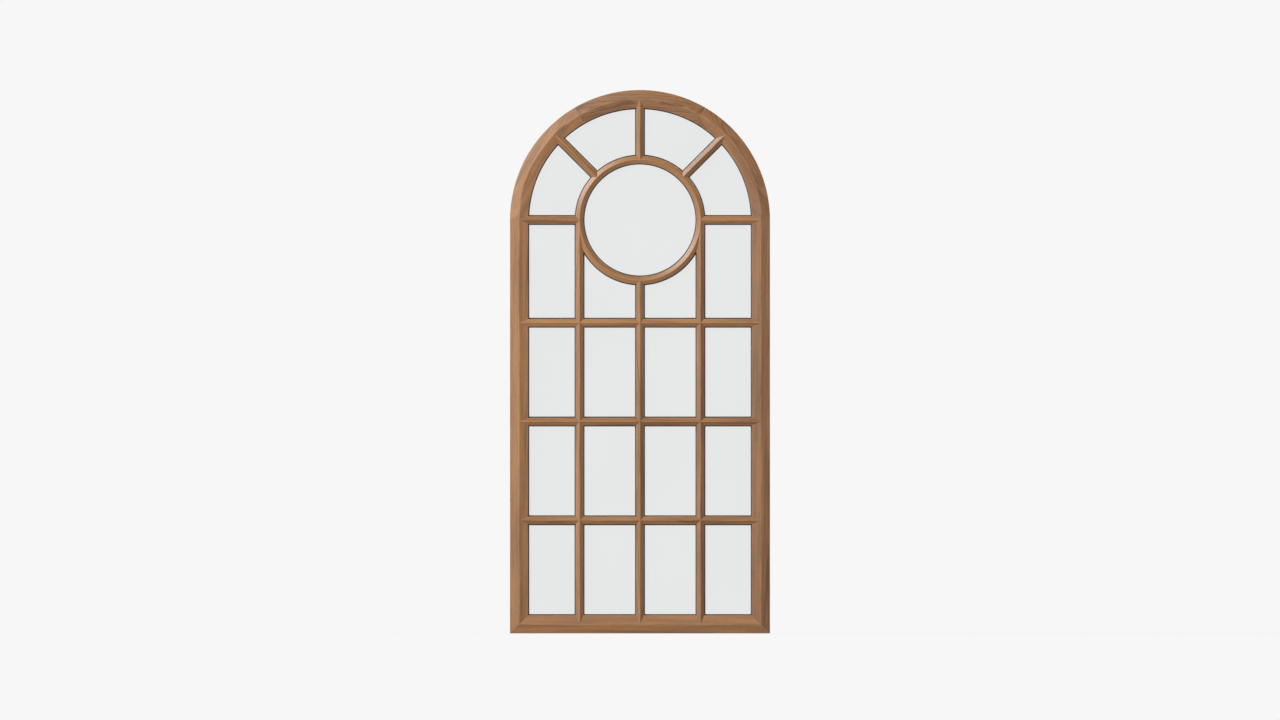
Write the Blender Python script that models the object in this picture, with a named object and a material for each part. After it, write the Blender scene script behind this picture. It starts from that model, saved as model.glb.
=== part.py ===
"""An arched wooden window that does not open: frame, ring, glazing bars, glass and glazing beads.

Metres, +Z up. The front faces -Y. The origin is the middle of the underside of the frame.
Plan points are (x, z) as seen from the front. Section points are (u, y): u runs across a member
to the right of its direction of travel, y is depth, and the front has the lowest y.
"""
from functools import partial
from math import cos, hypot, pi, radians, sin, sqrt

import bmesh
import bpy

# Daylight sizes of the panes
INNER_PANE_WIDTH = 0.2025
OUTER_PANE_WIDTH = 0.1825
PANE_HEIGHT = 0.350
TOP_PANE_HEIGHT = 0.365

# Sections of the members
FRAME_FACE = 0.070
BAR_WEB = 0.012
REBATE = 0.009
RIDGE = 0.008
LIP = 0.014
BAR_BEHIND_GLASS = 0.024
FRAME_BEYOND_BAR = 0.022

# Glass and glazing beads
GLASS_THICKNESS = 0.004
GLASS_PLAY = 0.002
BEAD_DEPTH = 0.012

# Joints
GAP = 0.0003
TENON_SHOULDER = 0.001
TENON_THICKNESS = 0.012
FRAME_STUB = 0.030
RING_STUB = 0.005
RAIL_TENON_EDGE = 0.012
RAIL_TENON_THICKNESS = 0.016
TONGUE_LENGTH = 0.040
TONGUE_WIDTH = 0.024
TONGUE_INSET = 0.011
TONGUE_THICKNESS = 0.012
ROOT = 0.006
OVERCUT = 0.002
WELD = 0.00001

# Layout
ARC_STEP = radians(3.75)
SMOOTH_ANGLE = radians(15)
ROWS = ["lower", "middle", "upper"]
HEAD_PIECES = ["head_right", "head_crown", "head_left"]
CROSS_BARS = ["cross_bar_low", "cross_bar_middle", "cross_bar_high"]
FAN_BARS = ["spring_bar_right", "fan_bar_right", "fan_bar_top", "fan_bar_left", "spring_bar_left"]
COLUMNS = ["far_left", "left", "right", "far_right"]
FAN_COLUMNS = ["far_right", "right", "left", "far_left"]

# Widths, heights and angles that follow
FAN_ANGLE = pi / len(FAN_COLUMNS)
SEGMENT_ANGLE = pi / len(HEAD_PIECES)
BAR_FACE = BAR_WEB + 2 * REBATE
HALF_BAR = BAR_FACE / 2
HALF_FRAME = FRAME_FACE / 2
ROW_PITCH = PANE_HEIGHT + BAR_FACE
RING_RADIUS = INNER_PANE_WIDTH + BAR_FACE
DAYLIGHT_RADIUS = RING_RADIUS + HALF_BAR + OUTER_PANE_WIDTH
HALF_WIDTH = DAYLIGHT_RADIUS + FRAME_FACE
HEAD_RADIUS = HALF_WIDTH - HALF_FRAME
TOP_ROW_FOOT = FRAME_FACE + len(ROWS) * ROW_PITCH
SPRING = TOP_ROW_FOOT + TOP_PANE_HEIGHT + HALF_BAR

# Depths that follow
DEPTH = RIDGE + LIP + BAR_BEHIND_GLASS + FRAME_BEYOND_BAR
CREST = -DEPTH / 2
ARRIS = CREST + RIDGE
SEAT = ARRIS + LIP
BAR_BACK = SEAT + BAR_BEHIND_GLASS
FRAME_BACK = BAR_BACK + FRAME_BEYOND_BAR
GLASS_FRONT = SEAT + GAP
BEAD_FRONT = GLASS_FRONT + GLASS_THICKNESS + GAP

# Half the gap of a mitre, measured upright
MITRE_SHIFT = GAP / sqrt(2)


def clear_scene():
    for item in list(bpy.data.objects):
        bpy.data.objects.remove(item)


def make_material(name, colour, roughness, alpha=1.0):
    material = bpy.data.materials.new(name)
    material.use_nodes = True
    shader = material.node_tree.nodes["Principled BSDF"]
    shader.inputs["Base Color"].default_value = (*colour, 1.0)
    shader.inputs["Roughness"].default_value = roughness
    shader.inputs["Metallic"].default_value = 0.0
    shader.inputs["Alpha"].default_value = alpha
    return material


def add_object(name, mesh_data):
    """Make one object of a finished bmesh, with its faces pointing out."""
    bmesh.ops.recalc_face_normals(mesh_data, faces=mesh_data.faces)
    mesh = bpy.data.meshes.new(name)
    mesh_data.to_mesh(mesh)
    mesh_data.free()
    piece = bpy.data.objects.new(name, mesh)
    bpy.context.collection.objects.link(piece)
    return piece


def extruded(name, corners, travel):
    """Fill a flat loop of 3-D corners and extrude it by a vector."""
    shape = bmesh.new()
    face = shape.faces.new([shape.verts.new(corner) for corner in corners])
    swept = bmesh.ops.extrude_face_region(shape, geom=[face])
    moved = [item for item in swept["geom"] if isinstance(item, bmesh.types.BMVert)]
    bmesh.ops.translate(shape, verts=moved, vec=travel)
    return add_object(name, shape)


def straight(name, section, start, end):
    """Carry a section in a straight line from one plan point to another."""
    along_x, along_z = end[0] - start[0], end[1] - start[1]
    length = hypot(along_x, along_z)
    right_x, right_z = along_z / length, -along_x / length
    corners = [(start[0] + u * right_x, y, start[1] + u * right_z) for u, y in section]
    return extruded(name, corners, (along_x, 0, along_z))


def turned(name, section, radius, start, end):
    """Carry a section clockwise round the centre of the arch, from one angle to another."""
    shape = bmesh.new()
    corners = [((radius - u) * cos(start), y, SPRING + (radius - u) * sin(start)) for u, y in section]
    face = shape.faces.new([shape.verts.new(corner) for corner in corners])
    whole = abs(start - end) > 2 * pi - ARC_STEP / 2
    bmesh.ops.spin(
        shape, geom=[face], cent=(0, 0, SPRING), axis=(0, 1, 0), angle=start - end,
        steps=round((start - end) / ARC_STEP), use_merge=whole, use_duplicate=False)
    if whole:
        caps = [item for item in shape.faces if len(item.verts) == len(section)]
        bmesh.ops.delete(shape, geom=caps, context='FACES_ONLY')
    return add_object(name, shape)


def prism(name, outline, front, back):
    """Extrude a plan outline from one depth to another."""
    return extruded(name, [(x, front, z) for x, z in outline], (0, back - front, 0))


def apply_tools(piece, tools, operation):
    """Join tools to a piece or cut them out of it, welding the slivers, and keep the result as its mesh."""
    for tool in tools:
        change = piece.modifiers.new(tool.name, 'BOOLEAN')
        change.operation = operation
        change.solver = 'EXACT'
        change.object = tool
        welding = piece.modifiers.new("weld", 'WELD')
        welding.merge_threshold = WELD
    evaluated = piece.evaluated_get(bpy.context.evaluated_depsgraph_get())
    result = bpy.data.meshes.new_from_object(evaluated)
    piece.modifiers.clear()
    piece.data = result
    for tool in tools:
        bpy.data.objects.remove(tool)


def cut(piece, *tools):
    apply_tools(piece, tools, 'DIFFERENCE')


def join(piece, *tools):
    apply_tools(piece, tools, 'UNION')


def ridge_heights(half, grow):
    """Depths of the crest and of the edge of a ridge whose slopes are moved out by grow."""
    lift = grow * hypot(1, RIDGE / half)
    return CREST - lift, ARRIS + grow * RIDGE / half - lift


def frame_section(grow=0.0):
    """Ridged front, flat back, and a rebate for the glass on the daylight side."""
    crest, edge = ridge_heights(HALF_FRAME, grow)
    outer, inner, wall = -HALF_FRAME - grow, HALF_FRAME + grow, HALF_FRAME - REBATE + grow
    seat, back = SEAT + grow, FRAME_BACK + grow
    return [(outer, edge), (0, crest), (inner, edge), (inner, seat),
            (wall, seat), (wall, back), (outer, back)]


def bar_section(grow=0.0):
    """Ridged front, a rebate on either side, and a web between the two panes."""
    crest, edge = ridge_heights(HALF_BAR, grow)
    side, web = HALF_BAR + grow, BAR_WEB / 2 + grow
    seat, back = SEAT + grow, BAR_BACK + grow
    return [(-side, edge), (0, crest), (side, edge), (side, seat), (web, seat),
            (web, back), (-web, back), (-web, seat), (-side, seat)]


def rectangle(low_u, high_u, front, back):
    return [(low_u, front), (high_u, front), (high_u, back), (low_u, back)]


def on_circle(radius, angle):
    return radius * cos(angle), SPRING + radius * sin(angle)


def arc(radius, start, end):
    """Plan points on a circle about the centre of the arch, one at each step."""
    steps = round(abs(end - start) / ARC_STEP)
    return [on_circle(radius, start + (end - start) * step / steps) for step in range(steps + 1)]


def shifted(point, towards, distance):
    """The plan point at a distance from one point on the way to another."""
    length = hypot(towards[0] - point[0], towards[1] - point[1])
    share = distance / length
    return (point[0] + (towards[0] - point[0]) * share, point[1] + (towards[1] - point[1]) * share)


def tenon(foot, towards, root, tip, grow=0.0):
    """The tenon of a bar: root and tip are distances from the centre line of what it enters."""
    half = BAR_WEB / 2 - TENON_SHOULDER + grow
    middle = (SEAT + BAR_BACK) / 2
    reach = TENON_THICKNESS / 2 + grow
    section = rectangle(-half, half, middle - reach, middle + reach)
    return straight("tenon", section, shifted(foot, towards, root), shifted(foot, towards, tip - grow))


def frame_tenon(foot, towards, through=False, grow=0.0):
    tip = -HALF_FRAME if through else HALF_FRAME - REBATE - FRAME_STUB
    return tenon(foot, towards, HALF_FRAME + ROOT, tip, grow)


def ring_tenon(foot, towards, grow=0.0):
    return tenon(foot, towards, HALF_BAR + ROOT, BAR_WEB / 2 - RING_STUB, grow)


def tongue(angle, sense, grow=0.0):
    """The tongue across a joint of the head at an angle: sense 1 points to larger angles, -1 to smaller."""
    middle = (BAR_BACK + FRAME_BACK) / 2
    reach = TONGUE_THICKNESS / 2 + grow
    radius = HALF_WIDTH - TONGUE_INSET - TONGUE_WIDTH / 2
    half = TONGUE_WIDTH / 2 + grow
    section = rectangle(-half, half, middle - reach, middle + reach)
    centre_x, centre_z = on_circle(radius, angle)
    step_x, step_z = -sin(angle) * sense, cos(angle) * sense
    tip = TONGUE_LENGTH + grow
    start = (centre_x - step_x * ROOT, centre_z - step_z * ROOT)
    end = (centre_x + step_x * tip, centre_z + step_z * tip)
    return straight("tongue", section, start, end)


def rail_tenon(side, grow=0.0):
    """The tenon of the bottom rail, which goes through the stile on one side."""
    low, high = RAIL_TENON_EDGE - grow, FRAME_FACE - REBATE - RAIL_TENON_EDGE + grow
    middle = (SEAT + FRAME_BACK) / 2
    reach = RAIL_TENON_THICKNESS / 2 + grow
    section = rectangle(-high, -low, middle - reach, middle + reach)
    inner = HALF_WIDTH - FRAME_FACE - ROOT
    near, far = (side * inner, 0), (side * (HALF_WIDTH + grow), 0)
    return straight("rail_tenon", section, min(near, far), max(near, far))


def above_mitre(side):
    """The stile's half of the ridge at a bottom corner, which the rail gives up."""
    inner, outer = HALF_WIDTH - FRAME_FACE - OVERCUT, HALF_WIDTH + OVERCUT
    low, high = -OVERCUT - MITRE_SHIFT, FRAME_FACE + OVERCUT - MITRE_SHIFT
    outline = [(side * outer, low), (side * outer, high + FRAME_FACE), (side * inner, high)]
    return prism("above_mitre", outline, CREST - OVERCUT, ARRIS)


def below_mitre(side):
    """The rail's half of the ridge at a bottom corner, which the stile gives up, with the gap behind it."""
    inner, outer = HALF_WIDTH - FRAME_FACE - OVERCUT, HALF_WIDTH + OVERCUT
    low, high = -OVERCUT + MITRE_SHIFT, FRAME_FACE + OVERCUT + MITRE_SHIFT
    outline = [(side * outer, low), (side * inner, high), (side * inner, low - FRAME_FACE)]
    return prism("below_mitre", outline, CREST - OVERCUT, ARRIS + GAP / 2)


def stile_core(side):
    """What the body of a stile, with its gap, takes out of the bottom rail: all behind the ridge."""
    inner, wall = HALF_FRAME + GAP, HALF_FRAME - REBATE + GAP
    front, seat = ARRIS - GAP / 2, SEAT + GAP
    outer, back = -HALF_FRAME - OVERCUT, FRAME_BACK + OVERCUT
    section = [(outer, front), (inner, front), (inner, seat), (wall, seat), (wall, back), (outer, back)]
    section = [(side * -u, y) for u, y in section]
    foot = (side * HEAD_RADIUS, -OVERCUT)
    return straight("stile_core", section, foot, (foot[0], FRAME_FACE + OVERCUT))


def stile_blank(name, side):
    section = [(side * -u, y) for u, y in frame_section()]
    return straight(name, section, (side * HEAD_RADIUS, 0), (side * HEAD_RADIUS, SPRING - GAP / 2))


def rail_blank(name, grow=0.0):
    reach = HALF_WIDTH + grow
    section = [(-u, y) for u, y in frame_section(grow)]
    return straight(name, section, (-reach, HALF_FRAME), (reach, HALF_FRAME))


def head_blank(name, start, end, grow=0.0):
    return turned(name, frame_section(grow), HEAD_RADIUS, start, end)


def surround_blank(name, grow=0.0):
    """The head and the stiles under it in one sweep, for what a bar is scribed to."""
    surround = head_blank(name, pi, 0, grow)
    shape = bmesh.new()
    shape.from_mesh(surround.data)
    ends = [face for face in shape.faces if len(face.verts) == len(frame_section())]
    lengthened = bmesh.ops.extrude_face_region(shape, geom=ends)
    feet = [item for item in lengthened["geom"] if isinstance(item, bmesh.types.BMVert)]
    bmesh.ops.translate(shape, verts=feet, vec=(0, 0, -SPRING - grow))
    bmesh.ops.delete(shape, geom=ends, context='FACES_ONLY')
    shape.to_mesh(surround.data)
    shape.free()
    return surround


def ring_blank(name, grow=0.0):
    return turned(name, bar_section(grow), RING_RADIUS, 2 * pi, 0)


def upright_places():
    """Name, x, and height of the top of each upright: those at the sides run on beside the ring."""
    below_spring_bar = SPRING - HALF_BAR - GAP
    return [("upright_left", -RING_RADIUS, below_spring_bar),
            ("upright_centre", 0.0, SPRING - RING_RADIUS),
            ("upright_right", RING_RADIUS, below_spring_bar)]


def cross_bar_places():
    """Name and height of each cross bar."""
    return [(name, FRAME_FACE + PANE_HEIGHT + HALF_BAR + row * ROW_PITCH)
            for row, name in enumerate(CROSS_BARS)]


def fan_bar_places():
    """Name and angle of each bar between the ring and the head, the spring bars included."""
    return [(name, place * FAN_ANGLE) for place, name in enumerate(FAN_BARS)]


def head_mortises(low, high):
    """The mortises that the bars between two angles need in the head, or in a stile's top."""
    places = [angle for _, angle in fan_bar_places() if low - ARC_STEP < angle < high + ARC_STEP]
    return [frame_tenon(on_circle(HEAD_RADIUS, angle), (0, SPRING), grow=GAP) for angle in places]


def make_stile(name, side):
    stile = stile_blank(name, side)
    joint = 0 if side > 0 else pi
    join(stile, tongue(joint, side))
    cut(stile, below_mitre(side), rail_tenon(side, GAP), *head_mortises(joint, joint))
    for _, height in cross_bar_places():
        cut(stile, frame_tenon((side * HEAD_RADIUS, height), (0, height), True, GAP))
    return stile


def make_rail(name):
    rail = rail_blank(name)
    for side in (-1, 1):
        cut(rail, stile_core(side), above_mitre(side))
        join(rail, rail_tenon(side))
    for _, x, top in upright_places():
        cut(rail, frame_tenon((x, HALF_FRAME), (x, top), grow=GAP))
    return rail


def make_head():
    """The segments of the head: the crown has the tongues, and the others take those of crown and stile."""
    trim = GAP / 2 / HEAD_RADIUS
    pieces = []
    for place, name in enumerate(HEAD_PIECES):
        low, high = place * SEGMENT_ANGLE, (place + 1) * SEGMENT_ANGLE
        piece = head_blank(name, high - trim, low + trim)
        if name == "head_crown":
            join(piece, tongue(low, -1), tongue(high, 1))
        else:
            cut(piece, tongue(low, 1, GAP), tongue(high, -1, GAP))
        cut(piece, *head_mortises(low, high))
        pieces.append(piece)
    return pieces


def make_ring(name):
    ring = ring_blank(name)
    for _, angle in fan_bar_places():
        cut(ring, ring_tenon(on_circle(RING_RADIUS, angle), on_circle(HEAD_RADIUS, angle), GAP))
    cut(ring, ring_tenon((0, SPRING - RING_RADIUS), (0, 0), GAP))
    return ring


def make_fan_bar(name, angle):
    foot, top = on_circle(RING_RADIUS, angle), on_circle(HEAD_RADIUS, angle)
    bar = straight(name, bar_section(), foot, top)
    cut(bar, ring_blank("ring_tool", GAP), surround_blank("surround_tool", GAP))
    join(bar, ring_tenon(foot, top), frame_tenon(top, foot))
    return bar


def make_upright(name, x, top):
    """An upright: ridge and lip run through at each crossing, the web gives way to the cross bar."""
    bar = straight(name, bar_section(), (x, HALF_FRAME), (x, top))
    cut(bar, ring_blank("ring_tool", GAP), rail_blank("rail_tool", GAP))
    join(bar, frame_tenon((x, HALF_FRAME), (x, top)))
    if x == 0:
        join(bar, ring_tenon((x, top), (x, HALF_FRAME)))
    slot = rectangle(-BAR_WEB / 2 - GAP, BAR_WEB / 2 + GAP, SEAT - GAP / 2, BAR_BACK + OVERCUT)
    for _, height in cross_bar_places():
        cut(bar, straight("slot", slot, (x - HALF_BAR, height), (x + HALF_BAR, height)))
    return bar


def make_cross_bar(name, height):
    """A cross bar: the web runs through at each crossing, ridge and lip are scribed to the upright."""
    bar = straight(name, bar_section(), (-HEAD_RADIUS, height), (HEAD_RADIUS, height))
    cut(bar, surround_blank("surround_tool", GAP))
    for side in (-1, 1):
        join(bar, frame_tenon((side * HEAD_RADIUS, height), (0, height), True))
    crest, edge = ridge_heights(HALF_BAR, GAP)
    half, back = HALF_BAR + GAP, SEAT + GAP / 2
    front_part = [(-half, edge), (0, crest), (half, edge), (half, back), (-half, back)]
    for _, x, _ in upright_places():
        cut(bar, straight("front_part", front_part, (x, height - BAR_FACE), (x, height + BAR_FACE)))
    return bar


def clipped(outline, normal, reach):
    """Keep the part of a closed outline whose points, along a normal, come no further than reach."""
    kept = []
    for here, after in zip(outline, outline[1:] + outline[:1]):
        past_here = here[0] * normal[0] + here[1] * normal[1] - reach
        past_after = after[0] * normal[0] + after[1] * normal[1] - reach
        if past_here <= 0:
            kept.append(here)
        if past_here * past_after < 0:
            share = past_here / (past_here - past_after)
            kept.append((here[0] + (after[0] - here[0]) * share, here[1] + (after[1] - here[1]) * share))
    return kept


def column_edges(column):
    """Left and right daylight edges of a column of panes."""
    if column.startswith("far"):
        inner, outer = RING_RADIUS + HALF_BAR, DAYLIGHT_RADIUS
    else:
        inner, outer = HALF_BAR, RING_RADIUS - HALF_BAR
    return (-outer, -inner) if column.endswith("left") else (inner, outer)


def straight_outline(column, foot, height, grow):
    left, right = column_edges(column)
    left, right, low, high = left - grow, right + grow, foot - grow, foot + height + grow
    return [(left, low), (right, low), (right, high), (left, high)]


def under_ring_outline(column, grow):
    """A top pane beside the middle: level foot, upright sides, and the ring's outside for its head."""
    radius = RING_RADIUS + HALF_BAR - grow
    left, right = column_edges(column)
    low = TOP_ROW_FOOT - grow
    if column == "left":
        outline = arc(radius, pi, 1.5 * pi) + [(0, low), (-radius, low)]
    else:
        outline = arc(radius, 1.5 * pi, 2 * pi) + [(radius, low), (0, low)]
    return clipped(clipped(outline, (1, 0), right + grow), (-1, 0), grow - left)


def fan_outline(place, grow):
    """A pane between ring and head, less half a bar at either side."""
    start, end = place * FAN_ANGLE, (place + 1) * FAN_ANGLE
    outline = arc(DAYLIGHT_RADIUS + grow, start, end) + arc(RING_RADIUS + HALF_BAR - grow, end, start)
    before_start, after_end = (sin(start), -cos(start)), (-sin(end), cos(end))
    spare = HALF_BAR - grow
    outline = clipped(outline, before_start, before_start[1] * SPRING - spare)
    return clipped(outline, after_end, after_end[1] * SPRING - spare)


def round_outline(grow):
    return arc(RING_RADIUS - HALF_BAR + grow, 0, 2 * pi)[:-1]


def pane_places():
    """Each pane's name, with a function that gives its daylight outline grown by a distance."""
    places = [("round", round_outline)]
    for place, column in enumerate(FAN_COLUMNS):
        places.append(("fan_" + column, partial(fan_outline, place)))
    for column in COLUMNS:
        if column.startswith("far"):
            outline = partial(straight_outline, column, TOP_ROW_FOOT, TOP_PANE_HEIGHT)
        else:
            outline = partial(under_ring_outline, column)
        places.append(("top_" + column, outline))
    for row, row_name in enumerate(ROWS):
        foot = FRAME_FACE + row * ROW_PITCH
        for column in COLUMNS:
            outline = partial(straight_outline, column, foot, PANE_HEIGHT)
            places.append((row_name + "_" + column, outline))
    return places


def make_glass(name, outline):
    return prism(name, outline(REBATE - GLASS_PLAY), GLASS_FRONT, GLASS_FRONT + GLASS_THICKNESS)


def make_bead(name, outline):
    """A frame of strips between the rebate's wall and the daylight edge, behind the glass."""
    back = BEAD_FRONT + BEAD_DEPTH
    bead = prism(name, outline(REBATE - GAP), BEAD_FRONT, back)
    cut(bead, prism("daylight", outline(0.0), BEAD_FRONT - OVERCUT, back + OVERCUT))
    return bead


def finish(piece, material):
    piece.data.materials.clear()
    piece.data.materials.append(material)
    piece.data.shade_smooth()
    piece.data.set_sharp_from_angle(angle=SMOOTH_ANGLE)


def make_members():
    members = [make_stile("stile_left", -1), make_stile("stile_right", 1), make_rail("bottom_rail")]
    members += make_head()
    members.append(make_ring("ring"))
    members += [make_fan_bar(name, angle) for name, angle in fan_bar_places()]
    members += [make_upright(name, x, top) for name, x, top in upright_places()]
    members += [make_cross_bar(name, height) for name, height in cross_bar_places()]
    return members


def main():
    clear_scene()
    timber = make_material("timber", (0.43, 0.24, 0.10), 0.45)
    bead_timber = make_material("bead_timber", (0.36, 0.19, 0.08), 0.5)
    glass = make_material("glass", (0.86, 0.93, 0.92), 0.03, 0.25)
    for member in make_members():
        finish(member, timber)
    for name, outline in pane_places():
        finish(make_glass("glass_" + name, outline), glass)
        finish(make_bead("bead_" + name, outline), bead_timber)


main()
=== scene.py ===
"""The looks of an arched wooden window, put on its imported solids.

Metres, +Z up, and the front faces -Y. A plan point is (x, z) measured from the centre of the arch.
A section point is (u, y): u runs across a member and y is depth.
"""

from math import ceil, cos, pi, radians, sin

import bmesh
import bpy
import numpy as np
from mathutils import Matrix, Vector


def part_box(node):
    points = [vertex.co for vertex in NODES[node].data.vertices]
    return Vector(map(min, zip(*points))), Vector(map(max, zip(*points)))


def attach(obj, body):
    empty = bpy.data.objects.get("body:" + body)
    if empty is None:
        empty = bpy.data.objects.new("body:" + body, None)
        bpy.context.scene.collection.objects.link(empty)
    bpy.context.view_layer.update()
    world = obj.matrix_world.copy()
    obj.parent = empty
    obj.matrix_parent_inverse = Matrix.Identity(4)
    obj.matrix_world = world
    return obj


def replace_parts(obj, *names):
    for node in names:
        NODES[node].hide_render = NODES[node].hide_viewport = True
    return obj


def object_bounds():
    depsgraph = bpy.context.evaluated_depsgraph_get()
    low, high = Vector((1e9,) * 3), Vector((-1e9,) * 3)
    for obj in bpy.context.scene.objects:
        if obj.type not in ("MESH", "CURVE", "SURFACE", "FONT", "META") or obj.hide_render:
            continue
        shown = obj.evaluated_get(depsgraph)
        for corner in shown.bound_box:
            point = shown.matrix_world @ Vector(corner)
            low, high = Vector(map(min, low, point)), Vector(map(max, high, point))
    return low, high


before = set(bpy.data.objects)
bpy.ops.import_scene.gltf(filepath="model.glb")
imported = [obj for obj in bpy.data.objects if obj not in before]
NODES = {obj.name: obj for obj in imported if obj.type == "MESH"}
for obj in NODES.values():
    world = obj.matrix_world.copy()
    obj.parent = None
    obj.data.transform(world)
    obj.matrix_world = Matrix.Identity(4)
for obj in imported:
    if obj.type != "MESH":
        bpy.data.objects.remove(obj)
CAD_LOW, CAD_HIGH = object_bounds()


def span(node, axis):
    """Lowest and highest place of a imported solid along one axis: 0 is x, 1 is y, 2 is z."""
    low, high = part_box(node)
    return low[axis], high[axis]


def middle(node, axis):
    """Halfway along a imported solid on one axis."""
    return sum(span(node, axis)) / 2


def half_span(node, axis):
    """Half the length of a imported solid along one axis."""
    low, high = span(node, axis)
    return (high - low) / 2


def vertex_places(mesh):
    """The place of each vertex of a mesh, one to a row."""
    places = np.empty(len(mesh.vertices) * 3, np.float32)
    mesh.vertices.foreach_get("co", places)
    return places.reshape(-1, 3).astype(float)


def arris_depth():
    """Depth of the outer front arris of a stile, read from its solid."""
    places = vertex_places(NODES["stile_right"].data)
    return float(places[places[:, 0] > CAD_HIGH.x - GAP, 1].min())


# The fit between the solids, and how near counts as touching, as one point and as flat
GAP = 0.0003
TOUCH = GAP / 10
MERGE = 0.00001
FLAT = radians(0.5)

# Plan sizes read from the solids
SPRING = middle("ring", 2)
DAYLIGHT_RADIUS, HALF_WIDTH = span("stile_right", 0)
RING_OUTER = span("ring", 0)[1]
HALF_BAR = half_span("upright_centre", 0)
HALF_FRAME = (HALF_WIDTH - DAYLIGHT_RADIUS) / 2
HEAD_RADIUS = DAYLIGHT_RADIUS + HALF_FRAME
RING_RADIUS = RING_OUTER - HALF_BAR
RING_INNER = RING_RADIUS - HALF_BAR
BEAD_REACH = span("bead_round", 0)[1] - RING_INNER
REBATE = BEAD_REACH + GAP
HALF_WEB = HALF_BAR - REBATE
FRAME_WALL = HALF_FRAME - REBATE

# Depths read from the solids
CREST, FRAME_BACK = span("stile_right", 1)
ARRIS = arris_depth()
BAR_BACK = span("upright_centre", 1)[1]
GLASS_FRONT = span("glass_round", 1)[0]
SEAT = GLASS_FRONT - GAP
BEAD_FRONT, BEAD_BACK = span("bead_round", 1)

# Easing of the timber's edges
ARRIS_EASING = 0.0012
CREST_EASING = 0.0022
EASING_STEPS = 4
JOINT_EASING = 0.0003
RING_SLIT = 0.00004
SHARP = radians(35)

# Curved members
ARC_STEP = radians(1.0)
HEAD_PIECES = ["head_right", "head_crown", "head_left"]
SEGMENT_ANGLE = pi / len(HEAD_PIECES)
FAN_PANES = ["fan_far_right", "fan_right", "fan_left", "fan_far_left"]
FAN_ANGLE = pi / len(FAN_PANES)

# Glazing beads, seen from the back
BEAD_FOOT = 0.0035
BEAD_QUIRK = 0.0009
BEAD_TOP = 0.0032
BEAD_CURVE_POINTS = 7
BEAD_EASING = 0.0004
BEAD_EASING_STEPS = 2
MITRE_GAP = 0.00012
BEAD_ARC_STEP = radians(1.5)

# Bedding compound in front of the glass
BEDDING_WIDTH = 0.0042
BEDDING_HEIGHT = 0.0046
BEDDING_SWELL = 0.0005
BEDDING_FALL = 1.5
BEDDING_POINTS = 6
BEDDING_HOLD = 0.0001

# Panel pins in the beads
PIN_RADIUS = 0.0009
PIN_RISE = 0.00035
PIN_SIDES = 10
PIN_RINGS = 3
PIN_END = 0.030
PIN_SPACING = 0.11

# Boards: where each lay in the tree, in metres from the pith and from the log's foot
SEED = 41
PITH_NEAR, PITH_FAR = 0.05, 0.13
LOG_LENGTH = 20.0
TILT = 0.022
SAWN_TURN = radians(50)
RING_WIDTH = 0.0050
STRIP_RING_WIDTH = RING_WIDTH / 2

# Numbers of the boards: the straight members count from 0, and a pane's strips from their own start
HEAD_BOARDS = 20
RING_BOARD = 30
STRIP_BOARDS = 100
STRIPS_APART = 5

# Tones of the timber: pale, deep, and the brown of its pores
FRAME_TONES = ((0.275, 0.131, 0.048), (0.108, 0.045, 0.015), (0.036, 0.015, 0.006))
STRIP_TONES = ((0.24, 0.112, 0.041), (0.092, 0.038, 0.013), (0.032, 0.014, 0.006))
WORN_LIFT = 1.35

# Patterns in the timber, in waves per metre: twice across the grain, then along it
WANDER_WAVES = (9.0, 9.0, 0.9)
YEAR_WAVES = (60.0, 60.0, 4.0)
FIGURE_WAVES = (34.0, 34.0, 2.2)
STREAK_WAVES = (260.0, 260.0, 5.0)
FIBRE_WAVES = (1700.0, 1700.0, 34.0)
PORE_WAVES = (2300.0, 2300.0, 70.0)
HANDLING_WAVES = (90.0, 90.0, 14.0)

# How far the rings wander, in metres
WANDER_REACH = 0.016

# How dark a year's growth is, from its spring to its winter
YEAR_STOPS = [(0.0, 0.08), (0.45, 0.22), (0.82, 0.95), (0.95, 0.8), (1.0, 0.08)]

# Smooth steps, by where each starts and ends. The wear's width is in metres from an edge, and the
# end grain's step is in squares of the cosine between a face's normal and the grain.
PORE_STEP = (0.60, 0.72)
WEAR_PATCH = (0.30, 0.62)
WEAR_WIDTH = (0.0006, 0.0034)
END_GRAIN_STEP = (0.55, 0.9)

# Glass, bedding and brass: tones, and patterns in waves per metre along x, y and z
GLASS_TONE = (0.075, 0.14, 0.125)
GLASS_TINTS = ((0.06, 0.12, 0.105), (0.09, 0.16, 0.145))
GLASS_CAST_WAVES = (3.1, 3.1, 2.3)
GLASS_DRAW_WAVES = (9.0, 9.0, 3.0)
BEDDING_TONE = (0.035, 0.032, 0.029)
BEDDING_TONES = ((0.030, 0.027, 0.024), (0.075, 0.070, 0.064))
BLOOM_WAVES = (55.0, 55.0, 55.0)
SKIN_WAVES = (900.0, 900.0, 900.0)
BRASS_TONES = ((0.62, 0.45, 0.20), (0.30, 0.19, 0.09))
BRASS_WAVES = (700.0, 700.0, 700.0)

# Floor and light. The sky's stops are heights and greys; a light has a place and a power in watts.
FLOOR_RADIUS = 4.0
FLOOR_HOLE = 0.001
FLOOR_THICKNESS = 0.0002
FLOOR_SIDES = 180
FLOOR_TONE = (0.43, 0.43, 0.425)
SKY_STOPS = [(0.02, 0.93), (0.40, 0.30)]
LIGHT_SIZE = 6.8
LIGHTS = {"key": ((-9.2, -8.4, 8.55), 3760), "behind": ((7.2, 8.8, 7.35), 1720)}

# The picture: 260 of its 1280 pixels show one metre
PIXELS_WIDE = 1280
PIXELS_PER_METRE = 260
VIEW_HEIGHT = 1.0515
VIEW_DISTANCE = 5.0


def plan(x, z):
    """A plan point of a place given in metres above the foot of the window."""
    return np.array((x, z - SPRING))


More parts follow.
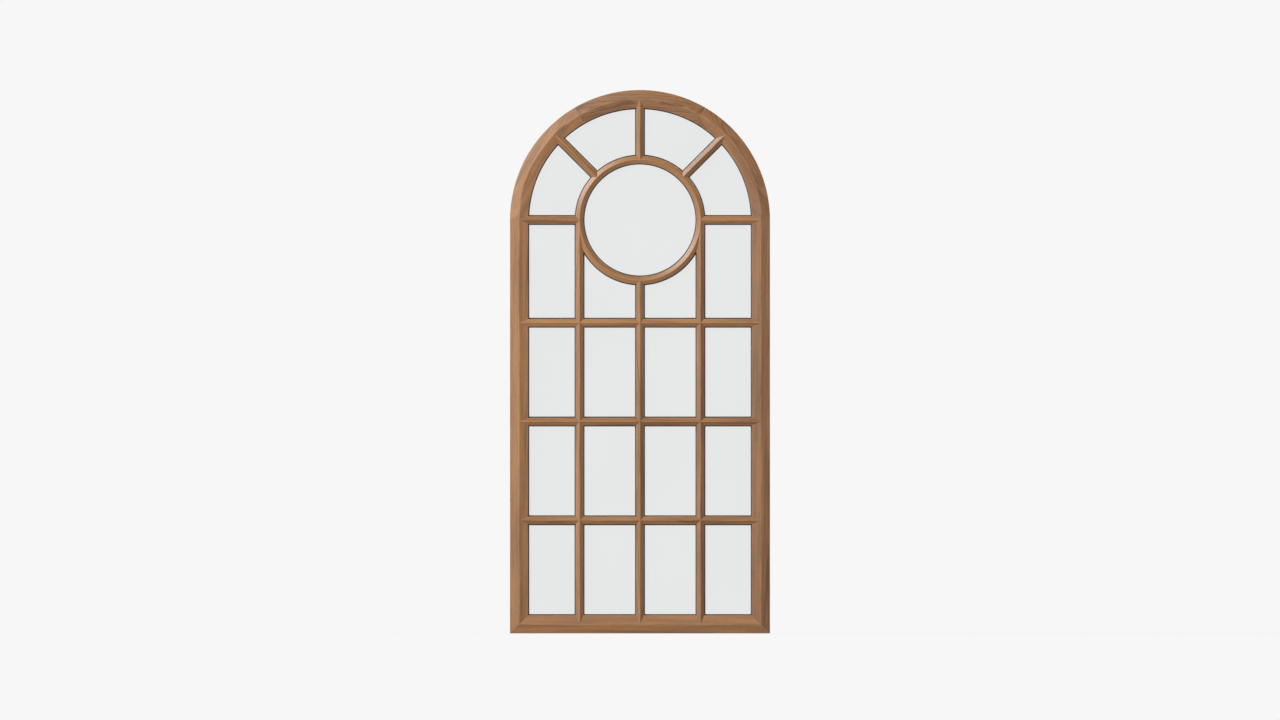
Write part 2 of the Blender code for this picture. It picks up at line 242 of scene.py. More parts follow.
def heading(angle):
    """The plan direction at an angle from x, turned towards z."""
    return np.array((cos(angle), sin(angle)))


def left_of(direction):
    """The direction a quarter turn counter-clockwise from another."""
    return np.array((-direction[1], direction[0]))


def unit(vectors):
    """The same directions with a length of one."""
    return vectors / np.linalg.norm(vectors, axis=-1, keepdims=True)


def on_circle(radius, angle):
    """Points at a radius and an angle about the centre: the radius times cosine and sine."""
    return np.stack([radius * np.cos(angle), radius * np.sin(angle)], axis=-1)


def in_space(places, depth):
    """Turn plan points into points in space at a depth: x, y, and z above the foot."""
    depths = np.broadcast_to(depth, places.shape[:-1])
    return np.stack([places[..., 0], depths, places[..., 1] + SPRING], axis=-1)


def in_plane(directions):
    """Turn plan directions into directions in space, which have no depth."""
    level = np.zeros(directions.shape[:-1])
    return np.stack([directions[..., 0], level, directions[..., 1]], axis=-1)


class Board:
    """The board that a member was sawn from, with its own place in the tree, tilt and tone."""

    def __init__(self, number):
        dice = np.random.default_rng(SEED + number)
        self.turn = dice.uniform(-SAWN_TURN, SAWN_TURN)
        self.pith = dice.uniform(PITH_NEAR, PITH_FAR)
        self.tilt = dice.uniform(-TILT, TILT, 2)
        self.start = dice.uniform(0.0, LOG_LENGTH)
        self.tone = dice.uniform(-1.0, 1.0)

    def grain(self, across, depth, along):
        """Place in the tree: across and depth turned by the sawing angle, moved out from the pith,
        and leaning from it by the tilt times the distance along the board."""
        across, depth, along = np.broadcast_arrays(across, depth, along)
        side = across * cos(self.turn) - depth * sin(self.turn) + along * self.tilt[0]
        out = across * sin(self.turn) + depth * cos(self.turn) + along * self.tilt[1] + self.pith
        return np.stack([side, out, along + self.start], axis=-1)

    def edges(self, from_crest, half):
        """Distance from the crest, distance from the nearer arris, and the board's tone. Both
        distances are across the member alone. On a strip, the edge at the daylight and the edge at
        the wall of the rebate take the places of crest and arris."""
        return np.stack([from_crest, half - from_crest, np.full_like(from_crest, self.tone)], axis=-1)


def eased(corners, setbacks, steps=EASING_STEPS):
    """A closed section with its corners rounded. Each arc is tangent to both sides at the setback
    from the corner: its centre lies on the bisector, and its points are the two radii to the
    tangent points, blended by the sines of their shares of the turn."""
    corners = np.asarray(corners, float)
    share = np.linspace(0, 1, steps + 1)[:, None]
    neighbours = zip(corners, np.roll(corners, 1, 0), np.roll(corners, -1, 0), setbacks)
    parts = []
    for corner, before, after, setback in neighbours:
        if not setback:
            parts.append(corner[None])
            continue
        back, on = unit(before - corner), unit(after - corner)
        half = np.arccos(np.clip(back @ on, -1, 1)) / 2
        centre = corner + unit(back + on) * setback / cos(half)
        first, last = corner + back * setback - centre, corner + on * setback - centre
        turn = pi - 2 * half
        arc = np.sin((1 - share) * turn) * first + np.sin(share * turn) * last
        parts.append(centre + arc / sin(turn))
    return np.concatenate(parts)


def frame_section():
    """Ridged front, flat back, and a rebate for the glass: u grows towards the daylight."""
    return eased(
        [(-HALF_FRAME, ARRIS), (0, CREST), (HALF_FRAME, ARRIS), (HALF_FRAME, SEAT),
         (FRAME_WALL, SEAT), (FRAME_WALL, FRAME_BACK), (-HALF_FRAME, FRAME_BACK)],
        [ARRIS_EASING, CREST_EASING, ARRIS_EASING, 0, 0, ARRIS_EASING, ARRIS_EASING])


def bar_section():
    """Ridged front, a rebate on either side, and a web between the two panes."""
    return eased(
        [(-HALF_BAR, ARRIS), (0, CREST), (HALF_BAR, ARRIS), (HALF_BAR, SEAT), (HALF_WEB, SEAT),
         (HALF_WEB, BAR_BACK), (-HALF_WEB, BAR_BACK), (-HALF_WEB, SEAT), (-HALF_BAR, SEAT)],
        [ARRIS_EASING, CREST_EASING, ARRIS_EASING, 0, 0, ARRIS_EASING, ARRIS_EASING, 0, 0])


def bead_section():
    """A strip with a foot beside the glass, a small quirk, a quarter ellipse and a narrow flat top:
    u grows from the daylight edge to the wall of the rebate."""
    foot, top = BEAD_FRONT + BEAD_FOOT, BEAD_REACH - BEAD_TOP
    turns = np.linspace(0, pi / 2, BEAD_CURVE_POINTS)
    width, height = top - BEAD_QUIRK, BEAD_BACK - foot
    curve = np.stack([top - width * np.cos(turns), foot + height * np.sin(turns)], axis=-1)
    ends = [(BEAD_REACH, BEAD_BACK), (BEAD_REACH, BEAD_FRONT), (0, BEAD_FRONT), (0, foot)]
    setbacks = [0] * len(curve) + [BEAD_EASING, 0, 0, BEAD_EASING]
    return eased(np.concatenate([curve, ends]), setbacks, BEAD_EASING_STEPS)


def bedding_section():
    """The exposed face falls from the lip to the glass by a power of its share of the width, and
    swells a little like a sine between them; the hidden faces sink just into both."""
    share = np.linspace(0, 1, BEDDING_POINTS)
    reach = BEDDING_HOLD - (BEDDING_WIDTH + BEDDING_HOLD) * share
    height = BEDDING_HEIGHT * (1 - share) ** BEDDING_FALL + BEDDING_SWELL * np.sin(pi * share)
    face = np.stack([reach, GLASS_FRONT - height], axis=-1)
    hidden = [(-BEDDING_WIDTH, GLASS_FRONT + BEDDING_HOLD), (BEDDING_HOLD, GLASS_FRONT + BEDDING_HOLD)]
    return np.concatenate([face, hidden])


class Shell:
    """Swept solids gathered into one mesh, with the vectors that their finish reads at each point."""

    def __init__(self):
        self.points, self.faces, self.count = [], [], 0
        self.layers = {}

    def add(self, grid, looped=False, **layers):
        """Add a grid of stations by section points. Neighbours in both directions make quads; the
        section closes on itself, and so does the path if looped, or else both ends are capped.
        The faces are turned over if the volume that they enclose comes out negative."""
        stations, width = grid.shape[:2]
        number = np.arange(stations * width).reshape(stations, width)
        ahead = np.roll(number, -1, 0) if looped else number[1:]
        here = number if looped else number[:-1]
        quads = np.stack([here, ahead, np.roll(ahead, -1, 1), np.roll(here, -1, 1)], axis=-1)
        quads = quads.reshape(-1, 4)
        caps = [] if looped else [number[0], number[-1, ::-1]]
        flat = grid.reshape(-1, 3)
        fans = [np.stack([np.full(width - 2, cap[0]), cap[1:-1], cap[2:]], axis=-1) for cap in caps]
        corners = flat[np.concatenate([quads[:, :3], quads[:, [0, 2, 3]], *fans])]
        volume = np.einsum('ij,ij->', corners[:, 0], np.cross(corners[:, 1], corners[:, 2]))
        if volume < 0:
            quads, caps = quads[:, ::-1], [cap[::-1] for cap in caps]
        self.faces += (quads + self.count).tolist() + [(cap + self.count).tolist() for cap in caps]
        self.points.append(flat)
        self.count += len(flat)
        for name, values in layers.items():
            spread = np.broadcast_to(values, grid.shape)
            self.layers.setdefault(name, []).append(spread.reshape(-1, 3))

    def mesh(self, name):
        made = bpy.data.meshes.new(name)
        made.from_pydata(np.concatenate(self.points).tolist(), [], self.faces)
        for layer, values in self.layers.items():
            set_vectors(made, layer, np.concatenate(values))
        return made


def set_vectors(mesh, name, values):
    """Store a vector at each vertex of a mesh, for its finish to read."""
    layer = mesh.attributes.new(name, 'FLOAT_VECTOR', 'POINT')
    layer.data.foreach_set("vector", np.ascontiguousarray(values, np.float32).ravel())


def new_object(name, data):
    """Put an object in the scene."""
    made = bpy.data.objects.new(name, data)
    bpy.context.collection.objects.link(made)
    return made


def add_mesh(name, mesh, material):
    """Make the object of a finished mesh, smooth but for its sharp edges."""
    mesh.materials.append(material)
    mesh.shade_smooth()
    mesh.set_sharp_from_angle(angle=SHARP)
    return new_object(name, mesh)


def add_piece(name, mesh, material, even=True):
    """Add a piece of the window. Weighted normals keep its flats flat beside eased edges."""
    piece = add_mesh(name, mesh, material)
    if even:
        weighting = piece.modifiers.new("even_flats", 'WEIGHTED_NORMAL')
        weighting.keep_sharp = True
    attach(piece, "root")
    return piece


def straight_members():
    """Name, a plan point on the centre line, the angle of the grain, and whether it is a bar."""
    upright, level = pi / 2, 0.0
    members = [(name, plan(middle(name, 0), 0), upright, name.startswith("upright"))
               for name in ("stile_left", "stile_right",
                            "upright_left", "upright_centre", "upright_right")]
    members += [(name, plan(0, middle(name, 2)), level, name != "bottom_rail")
                for name in ("bottom_rail", "cross_bar_low", "cross_bar_middle", "cross_bar_high",
                             "spring_bar_left", "spring_bar_right")]
    members += [(name, plan(0, SPRING), place * FAN_ANGLE, True)
                for place, name in enumerate(("fan_bar_right", "fan_bar_top", "fan_bar_left"), 1)]
    return members


def along_member(mesh, point, direction):
    """Across, depth and along of each vertex of a mesh, from a plan line."""
    places = vertex_places(mesh)
    offsets = places[:, [0, 2]] - (0, SPRING) - point
    return offsets @ left_of(direction), places[:, 1], offsets @ direction


def eased_copy(name, point, direction, is_bar):
    """The joiner's solid with its long edges eased: edges whose ends both lie on a line of the
    section, so that scribed ends, mitres, tenons and mortises stay as they are. The rail's foot
    keeps its corners, because it stands on them."""
    shape = bmesh.new()
    shape.from_mesh(NODES[name].data)
    bmesh.ops.remove_doubles(shape, verts=shape.verts, dist=MERGE)
    bmesh.ops.dissolve_limit(shape, angle_limit=FLAT, verts=shape.verts, edges=shape.edges)
    base = Vector((point[0], 0, point[1] + SPRING))
    across = Vector(in_plane(left_of(direction)))

    def lies_on(corner, reach, depth):
        off_line = (corner.co - base).dot(across) - reach
        return abs(off_line) < TOUCH and abs(corner.co.y - depth) < TOUCH

    def edges_on(lines):
        return [edge for edge in shape.edges
                if any(all(lies_on(corner, *line) for corner in edge.verts) for line in lines)]

    if is_bar:
        arrises = [(HALF_BAR, ARRIS), (HALF_WEB, BAR_BACK)]
    else:
        arrises = [(HALF_FRAME, ARRIS), (HALF_FRAME, FRAME_BACK), (FRAME_WALL, FRAME_BACK)]
    sides = [1] if name == "bottom_rail" else [1, -1]
    arrises = [(side * reach, depth) for side in sides for reach, depth in arrises]
    for lines, easing in ((arrises, ARRIS_EASING), ([(0.0, CREST)], CREST_EASING)):
        bmesh.ops.bevel(shape, geom=edges_on(lines), offset=easing, offset_type='OFFSET',
                        segments=EASING_STEPS, profile=0.5, affect='EDGES', clamp_overlap=False)
    bmesh.ops.dissolve_degenerate(shape, dist=MERGE / 2, edges=shape.edges)
    mesh = bpy.data.meshes.new(name)
    shape.to_mesh(mesh)
    shape.free()
    return mesh


def make_straight_members(material):
    """Stiles, rail and bars, each with the straight grain of its own board."""
    for number, (name, point, angle, is_bar) in enumerate(straight_members()):
        direction = heading(angle)
        mesh = eased_copy(name, point, direction, is_bar)
        across, depth, along = along_member(mesh, point, direction)
        board = Board(number)
        set_vectors(mesh, "grain", board.grain(across, depth, along))
        set_vectors(mesh, "edges", board.edges(np.abs(across), HALF_BAR if is_bar else HALF_FRAME))
        set_vectors(mesh, "axis", np.tile(in_plane(direction), (len(across), 1)))
        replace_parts(add_piece("timber_" + name, mesh, material), name)


def arc_grid(section, radius, start, end):
    """A section carried round the centre of the arch: each point keeps its depth, and its radius is
    the centre line's less u. Each end is eased: its last section is drawn in towards the middle.
    Returns the grid with its plan points, angles and radii."""
    easing = JOINT_EASING / radius
    inner = np.linspace(start + easing, end - easing, ceil((end - start) / ARC_STEP) + 1)
    angles = np.concatenate([[start], inner, [end]])[:, None]
    drawn_in = section + unit(section.mean(0) - section) * JOINT_EASING
    sections = np.stack([drawn_in] + [section] * len(inner) + [drawn_in])
    radii = radius - sections[..., 0]
    places = on_circle(radii, angles)
    return in_space(places, sections[..., 1]), places, angles, radii


def make_head(material):
    """Three segments sawn from straight boards: the grain runs level with the middle of each. The
    first and the last reach down to the shoulders of the stiles, half a fit below the spring line."""
    shoulder = GAP / 2 / HEAD_RADIUS
    for number, name in enumerate(HEAD_PIECES):
        low, high = number * SEGMENT_ANGLE, (number + 1) * SEGMENT_ANGLE
        start = -shoulder if name == HEAD_PIECES[0] else low
        end = pi + shoulder if name == HEAD_PIECES[-1] else high
        grid, places, _, radii = arc_grid(frame_section(), HEAD_RADIUS, start, end)
        outward = heading((low + high) / 2)
        direction = left_of(outward)
        board = Board(HEAD_BOARDS + number)
        shell = Shell()
        shell.add(grid,
                  grain=board.grain(places @ outward - HEAD_RADIUS, grid[..., 1], places @ direction),
                  edges=board.edges(np.abs(radii - HEAD_RADIUS), HALF_FRAME),
                  axis=in_plane(direction))
        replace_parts(add_piece("timber_" + name, shell.mesh(name), material), name)


def make_ring(material):
    """One bent hoop, its grain following the curve, with its butt joint at the foot."""
    slit = RING_SLIT / 2 / RING_RADIUS
    grid, _, angles, radii = arc_grid(bar_section(), RING_RADIUS, slit - pi / 2, 1.5 * pi - slit)
    across = radii - RING_RADIUS
    tangents = np.stack([-np.sin(angles), np.cos(angles)], axis=-1)
    board = Board(RING_BOARD)
    shell = Shell()
    shell.add(grid,
              grain=board.grain(across, grid[..., 1], RING_RADIUS * angles),
              edges=board.edges(np.abs(across), HALF_BAR),
              axis=in_plane(tangents))
    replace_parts(add_piece("timber_ring", shell.mesh("ring"), material), "ring")


class Straight:
    """A straight side of a pane: the plan points whose product with the outward normal is reach."""

    def __init__(self, angle, reach):
        self.normal, self.reach = heading(angle), reach

    def path(self, start, end):
        """Stations by section points: a straight line from each start to each end."""
        return np.stack([start, end])


class Round:
    """A side on a circle about the centre of the arch. way is 1 with the pane inside it and -1
    outside. begin is the angle where it follows another round side."""

    def __init__(self, radius, way, begin=0.0):
        self.radius, self.way, self.begin = radius, way, begin

    def moved(self, out):
        """The circle's radius once the side is moved out from the pane."""
        return self.radius + self.way * out

    def path(self, start, end):
        """Stations by section points: equal angles from each start to each end, each at the
        distance from the centre that its start has."""
        first = np.arctan2(start[:, 1], start[:, 0])
        turn = (np.arctan2(end[:, 1], end[:, 0]) - first + pi) % (2 * pi) - pi
        steps = max(1, ceil(np.abs(turn).max() / BEAD_ARC_STEP))
        share = np.linspace(0, 1, steps + 1)[:, None]
        return on_circle(np.linalg.norm(start, axis=-1), first + turn * share)


def meeting(one, other, heart, out):
    """Where two sides meet once both are moved out: for straight sides, the point with both reaches;
    for a straight side and a circle, the foot of the perpendicular and half the chord towards the
    pane's heart; for two parts of a circle, the angle where the second begins."""
    if isinstance(one, Round) and isinstance(other, Round):
        return other.moved(out)[:, None] * heading(other.begin)
    if isinstance(one, Round) or isinstance(other, Round):
        circle, line = (one, other) if isinstance(one, Round) else (other, one)
        reach = line.reach + out
        along = left_of(line.normal)
        along = along * np.sign(along @ (heart - line.normal * line.reach))
        chord = np.sqrt(circle.moved(out) ** 2 - reach ** 2)
        return line.normal * reach[:, None] + along * chord[:, None]
    return np.linalg.solve([one.normal, other.normal], [one.reach + out, other.reach + out]).T


def pane_sides(name):
    """The sides of a pane, counter-clockwise, and its heart: its centre, or the middle of its foot."""
    if name == "round":
        return [Round(RING_INNER, 1, place * pi / 2) for place in range(4)], np.zeros(2)
    if name.startswith("fan"):
        start = FAN_PANES.index(name) * FAN_ANGLE
        end = start + FAN_ANGLE
        sides = [Straight(start - pi / 2, -HALF_BAR), Round(DAYLIGHT_RADIUS, 1),
                 Straight(end + pi / 2, -HALF_BAR), Round(RING_OUTER, -1)]
        return sides, heading((start + end) / 2) * (DAYLIGHT_RADIUS + RING_OUTER) / 2
    low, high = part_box("bead_" + name)
    (left, foot), (right, head) = plan(low.x, low.z) + BEAD_REACH, plan(high.x, high.z) - BEAD_REACH
    sides = [Straight(0, right), Straight(pi / 2, head), Straight(pi, -left), Straight(-pi / 2, -foot)]
    if name in ("top_left", "top_right"):
        sides[1] = Round(RING_OUTER, -1)
    return sides, np.array(((left + right) / 2, foot))


def side_grids(name, section):
    """For each side of a pane, its section carried along it, mitred at both ends."""
    sides, heart = pane_sides(name)
    out = section[:, 0]
    corners = [meeting(side, after, heart, out) for side, after in zip(sides, sides[1:] + sides[:1])]
    starts = corners[-1:] + corners[:-1]
    return [side.path(start, end) for side, start, end in zip(sides, starts, corners)]


def travelled(stations):
    """How far each section point has come at each station: the sum of its steps so far."""
    steps = np.linalg.norm(np.diff(stations, axis=0), axis=-1)
    return np.concatenate([np.zeros((1, stations.shape[1])), np.cumsum(steps, axis=0)])


def make_bead(name, number, material):
    """Strips with a mitre at each corner, each sawn or bent from its own length."""
    section = bead_section()
    across, depth = section.T
    shell = Shell()
    for place, stations in enumerate(side_grids(name, section)):
        along = travelled(stations)
        travel = unit(np.gradient(stations, axis=0))
        stations[0] += travel[0] * MITRE_GAP
        stations[-1] -= travel[-1] * MITRE_GAP
        board = Board(STRIP_BOARDS + STRIPS_APART * number + place)
        shell.add(in_space(stations, depth),
                  grain=board.grain(across, depth, along),
                  edges=board.edges(across, BEAD_REACH),
                  axis=in_plane(travel))
    strips = add_piece("strips_" + name, shell.mesh("strips_" + name), material)
    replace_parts(strips, "bead_" + name)


def make_bedding(names, material):
    """A fillet round every pane, in front of the glass: the sides' stations joined into a loop."""
    section = bedding_section()
    shell = Shell()
    for name in names:
        loop = np.concatenate([stations[:-1] for stations in side_grids(name, section)])
        shell.add(in_space(loop, section[:, 1]), looped=True)
    add_piece("bedding", shell.mesh("bedding"), material)


def pin_places(name):
    """Plan points along the flat of each strip: in from both mitres, and evenly between."""
    found = []
    for stations in side_grids(name, np.array([(BEAD_REACH - BEAD_TOP / 2, 0.0)])):
        along = travelled(stations)[:, 0]
        run = along[-1] - 2 * PIN_END
        at = PIN_END + np.linspace(0, run, max(1, ceil(run / PIN_SPACING)) + 1)
        found.append(np.stack([np.interp(at, along, part) for part in stations[:, 0].T], axis=-1))
    return np.concatenate(found)


def make_pins(names, material):
    """Low domes: rings whose radius follows a cosine and whose height follows a sine, up to a pole."""
    turns = np.arange(PIN_SIDES) * 2 * pi / PIN_SIDES
    rises = np.arange(PIN_RINGS)[:, None] * pi / 2 / PIN_RINGS
    rings = on_circle(PIN_RADIUS * np.cos(rises), turns)
    height = np.broadcast_to(np.sin(rises) * PIN_RISE, rings.shape[:2])
    head = np.stack([rings[..., 0], height, rings[..., 1]], axis=-1).reshape(-1, 3)
    head = np.concatenate([head, [(0, PIN_RISE, 0)]])
    number = np.arange(PIN_RINGS * PIN_SIDES).reshape(PIN_RINGS, PIN_SIDES)
    after = np.roll(number, -1, 1)
    walls = np.stack([number[:-1], number[1:], after[1:], after[:-1]], axis=-1).reshape(-1, 4)
    crown = np.stack([number[-1], np.full(PIN_SIDES, len(head) - 1), after[-1]], axis=-1)
    places = np.concatenate([in_space(pin_places(name), BEAD_BACK) for name in names])
    points = (places[:, None] + head).reshape(-1, 3)
    faces = []
    for first in (np.arange(len(places)) * len(head)).tolist():
        faces += (walls + first).tolist() + (crown + first).tolist() + [(number[0] + first).tolist()]
    mesh = bpy.data.meshes.new("panel_pins")
    mesh.from_pydata(points.tolist(), [], faces)
    add_piece("panel_pins", mesh, material, even=False)


def glaze(names, material):
    """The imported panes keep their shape, and the finish goes on their own objects."""
    for name in names:
        for place in NODES["glass_" + name].material_slots:
            place.link = 'OBJECT'
            place.material = material


class Term:
    """A value in shader maths: an expression on terms adds the Math nodes that work it out."""

    def __init__(self, nodes, socket):
        self.nodes, self.socket = nodes, socket

    def __add__(self, other):
        return self.nodes.maths('ADD', self, other)

    def __radd__(self, other):
        return self.nodes.maths('ADD', other, self)

    def __sub__(self, other):
        return self.nodes.maths('SUBTRACT', self, other)

    def __rsub__(self, other):
        return self.nodes.maths('SUBTRACT', other, self)

    def __mul__(self, other):
        return self.nodes.maths('MULTIPLY', self, other)

    def __rmul__(self, other):
        return self.nodes.maths('MULTIPLY', other, self)

    def __truediv__(self, other):
        return self.nodes.maths('DIVIDE', self, other)

    def __pow__(self, other):
        return self.nodes.maths('POWER', self, other)


class Nodes:
    """The nodes of a finish or of the surround, which lead to one shader."""

    def __init__(self, tree, shader):
        self.tree = tree
        self.shader = tree.nodes[shader]

    def node(self, kind, settings, sockets, output=0):
        """Add a node: first its settings, then the value or link of each socket. Returns one output."""
        node = self.tree.nodes.new("ShaderNode" + kind)
        for setting, value in settings.items():
            if setting == "stops":
                self.set_stops(node.color_ramp, *value)
            else:
                setattr(node, setting, value)
        for key, value in sockets.items():
            socket = self.find(node.inputs, key)
            if isinstance(value, Term):
                self.tree.links.new(value.socket, socket)
            else:
                socket.default_value = value
        return Term(self, self.find(node.outputs, output))

    def find(self, sockets, key):
        """A socket by its number, or the one in use by its name."""
        if isinstance(key, int):
            return sockets[key]
        return next(socket for socket in sockets if socket.name == key and not socket.is_unavailable)

    def set_stops(self, ramp, stops, easing):
        ramp.interpolation = easing
        while len(ramp.elements) < len(stops):
            ramp.elements.new(1.0)
        for element, (place, grey) in zip(ramp.elements, stops):
            element.position = place
            element.color = (grey, grey, grey, 1.0)

    def maths(self, operation, *values):
        return self.node("Math", {"operation": operation}, dict(enumerate(values)))

    def scaled(self, vector, factors):
        return self.node("VectorMath", {"operation": 'MULTIPLY'}, {0: vector, 1: factors})

    def summed(self, vector, other):
        return self.node("VectorMath", {"operation": 'ADD'}, {0: vector, 1: other})

    def parts(self, vector):
        """The three parts of a vector, from one node."""
        first = self.node("SeparateXYZ", {}, {0: vector})
        return [Term(self, output) for output in first.socket.node.outputs]

    def place(self, kind="Object"):
        """A point's place on its object or, with "Generated", its direction in the surround."""
        return self.node("TexCoord", {}, {}, kind)

    def attribute(self, name):
        return self.node("Attribute", {"attribute_name": name}, {}, "Vector")

    def noise(self, vector, waves, detail=2.0, output="Fac"):
        """Noise with so many waves a metre along each part of a vector."""
        return self.node("TexNoise", {}, {"Vector": self.scaled(vector, waves), "Scale": 1.0,
                                          "Detail": detail}, output)

    def ramp(self, value, stops, easing='LINEAR'):
        """The grey at a value, between stops that each have a place and a grey."""
        return self.node("ValToRGB", {"stops": (stops, easing)}, {0: value})

    def smooth(self, value, low, high):
        """0 below low and 1 above high, with a smooth step between."""
        return self.node("MapRange", {"interpolation_type": 'SMOOTHSTEP'},
                         {"Value": value, "From Min": low, "From Max": high}, "Result")

    def mixed(self, share, colour, other):
        """Blend two colours by a share that is kept between 0 and 1."""
        settings = {"data_type": 'RGBA', "clamp_factor": True}
        first, second = [(*one, 1.0) if isinstance(one, tuple) else one for one in (colour, other)]
        return self.node("Mix", settings, {"Factor": share, "A": first, "B": second}, "Result")

    def link(self, socket, term):
        """Let a term feed one of the shader's sockets."""
        self.tree.links.new(term.socket, self.shader.inputs[socket])

    def relief(self, height, distance, strength):
        """Bump the surface by a height, counted in units of the distance."""
        bump = self.node("Bump", {}, {"Height": height, "Distance": distance, "Strength": strength})
        self.link("Normal", bump)


class Finish(Nodes):
    """A material in the making, with its plain values on the shader's own sockets."""

    def __init__(self, name, colour, **values):
        self.material = bpy.data.materials.new(name)
        self.material.use_nodes = True
        super().__init__(self.material.node_tree, "Principled BSDF")
        self.shader.inputs["Base Color"].default_value = (*colour, 1.0)
        for socket, value in values.items():
            self.shader.inputs[socket.replace("_", " ")].default_value = value


def late_wood(finish, grain, ring_width):
    """How dark each point's growth is. The way out from the pith, with a little wander, counts the
    years. Within each, the wood darkens towards winter, by a share of that year's own."""
    wander = finish.noise(grain, WANDER_WAVES, detail=3.0, output="Color")
    wander = finish.scaled(finish.summed(wander, (-0.5, -0.5, -0.5)), (WANDER_REACH, WANDER_REACH, 0.0))
    side, out, _ = finish.parts(finish.summed(grain, wander))
    years = (side * side + out * out) ** 0.5 / ring_width
    years = years + finish.noise(grain, YEAR_WAVES) * 0.9
    late = finish.ramp(finish.maths('FRACT', years), YEAR_STOPS)
    season = finish.node("TexWhiteNoise", {"noise_dimensions": '1D'},
                         {"W": finish.maths('FLOOR', years)}, "Value")
    return late * (0.45 + season * 0.75)


def rubbed_edges(finish, grain, from_crest, from_arris, handled_to):
    """Patches of wear along the crest and the arrises. The stored distances are across the
    member alone, so behind the depth handled_to the way back from it is the other leg of a right
    angle."""
    near = finish.maths('MINIMUM', from_crest, from_arris)
    behind = finish.maths('MAXIMUM', finish.parts(finish.place())[1] - handled_to, 0.0)
    rubbed = 1.0 - finish.smooth((near * near + behind * behind) ** 0.5, *WEAR_WIDTH)
    return rubbed * finish.smooth(finish.noise(grain, HANDLING_WAVES), *WEAR_PATCH)


def end_grain(finish):
    """1 where a face looks along the grain, as on the end of a tenon, and 0 on the sides."""
    facing = finish.node("VectorMath", {"operation": 'DOT_PRODUCT'},
                         {0: finish.node("NewGeometry", {}, {}, "Normal"), 1: finish.attribute("axis")},
                         "Value")
    return finish.smooth(facing * facing, *END_GRAIN_STEP)


def timber_finish(name, tones, ring_width, handled_to):
    """Growth rings round the pith, crossed by fibres and pores that run with the grain. Edges look
    rubbed as far back as the depth handled_to, and just past it."""
    pale, deep, pore_brown = tones
    worn = tuple(part * WORN_LIFT for part in pale)
    finish = Finish(name, pale, Roughness=0.5, IOR=1.46,
                    Coat_Weight=0.08, Coat_Roughness=0.32, Coat_IOR=1.45)
    grain = finish.attribute("grain")
    from_crest, from_arris, tone = finish.parts(finish.attribute("edges"))
    late = late_wood(finish, grain, ring_width)
    figure = finish.noise(grain, FIGURE_WAVES, detail=3.0)
    streak = finish.noise(grain, STREAK_WAVES)
    fibre = finish.noise(grain, FIBRE_WAVES)
    pores = finish.smooth(finish.noise(grain, PORE_WAVES, detail=1.0), *PORE_STEP) * (1.0 - late * 0.6)
    rubbed = rubbed_edges(finish, grain, from_crest, from_arris, handled_to)
    ends = end_grain(finish)
    depth = late * 0.42 + (figure - 0.5) * 1.5 + (streak - 0.5) * 0.8 + tone * 0.18 + 0.30
    colour = finish.mixed(depth, pale, deep)
    colour = finish.mixed((fibre - 0.42) * 0.9, colour, pore_brown)
    colour = finish.mixed(pores * 0.55, colour, pore_brown)
    colour = finish.mixed(rubbed * 0.35, colour, worn)
    colour = finish.mixed(ends * 0.55, colour, pore_brown)
    finish.link("Base Color", colour)
    finish.link("Roughness", 0.50 - late * 0.07 + pores * 0.16 - rubbed * 0.08 + ends * 0.2)
    finish.relief(late * 0.35 + fibre * 0.35 - pores * 0.9, distance=0.0005, strength=0.35)
    return finish.material


def glass_finish():
    """Clear sheet with a faint draw in its surface."""
    finish = Finish("clear_glass", GLASS_TONE, Roughness=0.02, IOR=1.52, Alpha=0.09)
    place = finish.place()
    cast = finish.noise(place, GLASS_CAST_WAVES, detail=1.0)
    finish.link("Base Color", finish.mixed(finish.smooth(cast, 0.3, 0.7), *GLASS_TINTS))
    draw = finish.noise(place, GLASS_DRAW_WAVES, detail=1.0)
    finish.relief(draw, distance=0.002, strength=0.25)
    return finish.material


def bedding_finish():
    """Dark matt compound, wiped smooth, with a little bloom."""
    finish = Finish("bedding_compound", BEDDING_TONE, Roughness=0.55, IOR=1.45)
    place = finish.place()
    bloom = finish.noise(place, BLOOM_WAVES, detail=3.0)
    skin = finish.noise(place, SKIN_WAVES)
    finish.link("Base Color", finish.mixed(finish.smooth(bloom, 0.45, 0.75) * 0.5, *BEDDING_TONES))
    finish.link("Roughness", 0.48 + bloom * 0.2)
    finish.relief(skin, distance=0.0003, strength=0.3)
    return finish.material


def brass_finish():
    """Dull brass, browner in patches."""
    finish = Finish("dull_brass", BRASS_TONES[0], Metallic=1.0, Roughness=0.4)
    patch = finish.noise(finish.place(), BRASS_WAVES)
    finish.link("Base Color", finish.mixed(finish.smooth(patch, 0.4, 0.7), *BRASS_TONES))
    finish.link("Roughness", 0.30 + patch * 0.3)
    return finish.material


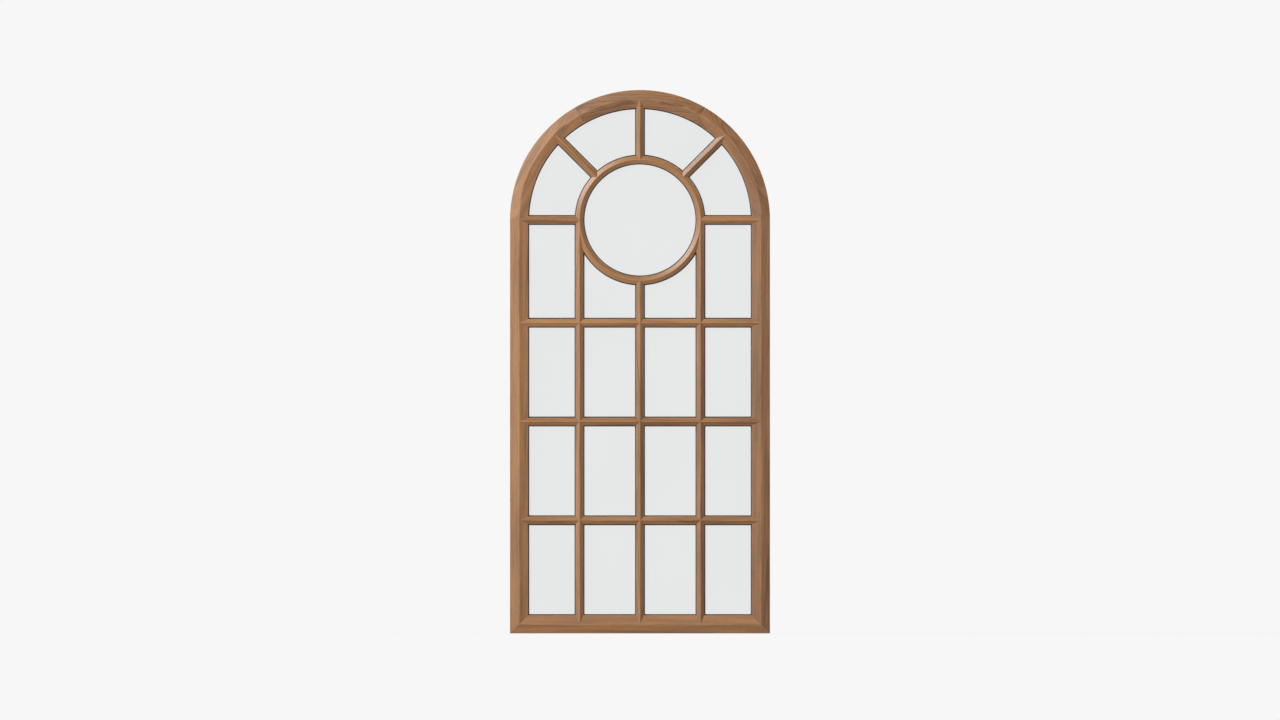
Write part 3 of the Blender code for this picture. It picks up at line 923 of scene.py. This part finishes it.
def make_floor():
    """A round pale floor: the section of a thin sheet carried round the upright axis."""
    rim = [(FLOOR_HOLE, 0.0), (FLOOR_RADIUS, 0.0),
           (FLOOR_RADIUS, -FLOOR_THICKNESS), (FLOOR_HOLE, -FLOOR_THICKNESS)]
    radii, heights = np.array(rim).T
    turns = np.linspace(0, 2 * pi, FLOOR_SIDES, endpoint=False)[:, None]
    circles = on_circle(radii, turns)
    levels = np.broadcast_to(heights + CAD_LOW.z, circles.shape[:2])
    shell = Shell()
    shell.add(np.concatenate([circles, levels[..., None]], axis=-1), looped=True)
    finish = Finish("pale_floor", FLOOR_TONE, Roughness=0.8)
    add_mesh("floor", shell.mesh("floor"), finish.material)


def set_surround():
    """A pale surround that darkens from the horizon upwards."""
    world = bpy.data.worlds.new("pale_surround")
    world.use_nodes = True
    nodes = Nodes(world.node_tree, "Background")
    height = nodes.parts(nodes.place("Generated"))[2]
    nodes.link("Color", nodes.ramp(height, SKY_STOPS, 'EASE'))
    bpy.context.scene.world = world


def add_light(name, place, power):
    """A soft square light that looks at the middle of the window."""
    lamp = bpy.data.lights.new(name, 'AREA')
    lamp.shape, lamp.size, lamp.energy = 'SQUARE', LIGHT_SIZE, power
    light = new_object(name, lamp)
    light.location = place
    sight = Vector((0, 0, VIEW_HEIGHT)) - light.location
    light.rotation_euler = sight.to_track_quat('-Z', 'Y').to_euler()


def set_studio():
    """A pale surround, a soft key from the upper left in front, and a weaker one behind."""
    set_surround()
    for name, (place, power) in LIGHTS.items():
        add_light(name, place, power)
    bpy.context.scene.view_settings.view_transform = 'Standard'


def set_camera():
    """Square on, with no perspective, as in the picture."""
    lens = bpy.data.cameras.new("camera")
    lens.type = 'ORTHO'
    lens.ortho_scale = PIXELS_WIDE / PIXELS_PER_METRE
    camera = new_object("camera", lens)
    camera.location = (0, -VIEW_DISTANCE, VIEW_HEIGHT)
    camera.rotation_euler = (pi / 2, 0, 0)
    bpy.context.scene.camera = camera


def main():
    timber = timber_finish("oiled_timber", FRAME_TONES, RING_WIDTH, ARRIS)
    strip_timber = timber_finish("strip_timber", STRIP_TONES, STRIP_RING_WIDTH, BEAD_BACK)
    panes = [name.removeprefix("glass_") for name in NODES if name.startswith("glass_")]
    make_straight_members(timber)
    make_head(timber)
    make_ring(timber)
    for number, name in enumerate(sorted(panes)):
        make_bead(name, number, strip_timber)
    make_bedding(panes, bedding_finish())
    make_pins(panes, brass_finish())
    glaze(panes, glass_finish())
    make_floor()
    set_studio()
    set_camera()


main()
